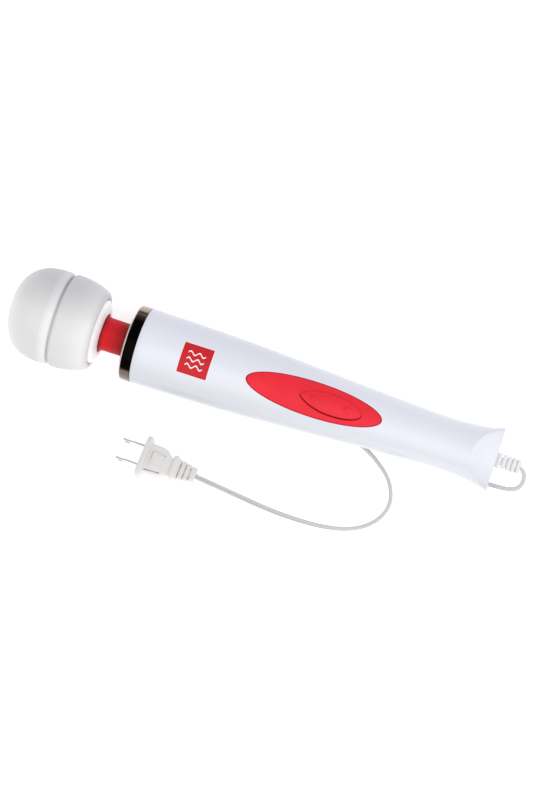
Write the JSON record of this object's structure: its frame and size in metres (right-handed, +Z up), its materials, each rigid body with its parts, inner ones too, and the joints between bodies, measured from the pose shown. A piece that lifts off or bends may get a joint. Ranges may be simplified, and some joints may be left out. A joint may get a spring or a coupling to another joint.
{
  "type": "handheld wand massager",
  "caption": "Corded wand massager: long tapering handle with a rocker switch, a flexible neck, a round soft vibrating head and a short two-blade mains lead.",
  "frame": {"origin": "on the supporting surface, under the middle of the wand (head, neck and housing, without the lead)", "axes": "+X from the head towards the tail, +Z up, out of the switch side; the wand lies on its back with its tail about 2 degrees lower"},
  "size_m": [0.3372, 0.1103, 0.0603],
  "materials": {
    "housing_white": "glossy moulded ABS",
    "ring_white": "glossy moulded ABS",
    "dark_chrome": "dark mirror plating",
    "silicone_red": "matte silicone",
    "cushion_vinyl": "satin soft vinyl",
    "panel_red": "satin moulded plastic",
    "rocker_red": "satin moulded plastic",
    "badge_red": "printed label",
    "core_plastic": "moulded plastic",
    "steel": "bright steel",
    "spring_steel": "drawn wire",
    "weight_iron": "plain",
    "magnet": "ferrite",
    "copper": "enamelled copper",
    "bronze": "sintered bronze",
    "black_plastic": "moulded plastic",
    "black_rubber": "moulded rubber",
    "board_green": "circuit board",
    "cord_white": "soft vinyl cable sheath",
    "lead_red": "insulated wire",
    "plug_white": "moulded vinyl",
    "blade_metal": "plated brass"
  },
  "bodies": {
    "housing": {"top_shell": "housing_white", "bottom_shell": "housing_white", "body_screws": "steel", "collar_ring": "dark_chrome", "neck_flange": "core_plastic", "flange_screws": "steel", "motor_can": "steel", "motor_end_cap": "black_plastic", "motor_magnets": "magnet", "motor_bushes": "bronze", "motor_brushes": "black_plastic", "motor_mounts": "black_rubber", "control_board": "board_green", "board_screws": "steel", "board_capacitor": "black_plastic", "board_rectifier": "black_plastic", "switch_body": "black_plastic", "rocker_pin": "steel", "control_panel": "panel_red", "badge": "badge_red", "mains_cable": "cord_white", "mains_leads": "cord_white", "motor_leads": "lead_red", "cord_clamp": "core_plastic", "clamp_screws": "steel", "strain_relief": "cord_white", "power_cord": "cord_white", "plug_body": "plug_white", "plug_blades": "blade_metal"},
    "rotor": {"motor_shaft": "steel", "motor_armature": "copper", "commutator": "copper", "shaft_coupling": "black_plastic", "flex_shaft": "black_rubber"},
    "neck": {"neck_spring": "spring_steel", "neck_sleeve": "silicone_red"},
    "head": {"head_cushion": "cushion_vinyl", "head_core_front": "core_plastic", "head_core_rear": "core_plastic", "head_ring": "ring_white", "head_screws": "steel", "head_bearings": "steel"},
    "eccentric": {"eccentric_shaft": "steel", "eccentric_weight": "weight_iron"},
    "rocker": {"rocker": "rocker_red"}
  },
  "joints": [
    {"name": "rocker_tilt", "type": "hinge", "parent": "housing", "child": "rocker", "pos_m": [0.05252, 0, 0.03757], "axis": [0, 1, 0], "range_deg": [-5, 5]},
    {"name": "neck_pitch", "type": "hinge", "parent": "housing", "child": "neck", "pos_m": [-0.08489, 0, 0.02861], "axis": [0, 1, 0], "range_deg": [-12, 12], "stiffness_Nm_per_rad": 8, "deforming": ["neck_sleeve", "neck_spring", "flex_shaft"]},
    {"name": "neck_yaw", "type": "hinge", "parent": "neck", "child": "head", "pos_m": [-0.09309, 0, 0.02892], "axis": [0.0375, 0, 0.9993], "range_deg": [-12, 12], "stiffness_Nm_per_rad": 8, "deforming": ["neck_sleeve", "neck_spring", "flex_shaft"]},
    {"name": "rotor_spin", "type": "hinge", "parent": "housing", "child": "rotor", "pos_m": [-0.04242, 0, 0.02702], "axis": [0.9993, 0, -0.0375], "continuous": true},
    {"name": "eccentric_spin", "type": "hinge", "parent": "head", "child": "eccentric", "pos_m": [-0.12636, 0, 0.03017], "axis": [0.9993, 0, -0.0375], "continuous": true}
  ],
  "couplings": [
    {"joint": "eccentric_spin", "follows": "rotor_spin", "ratio": 1}
  ]
}
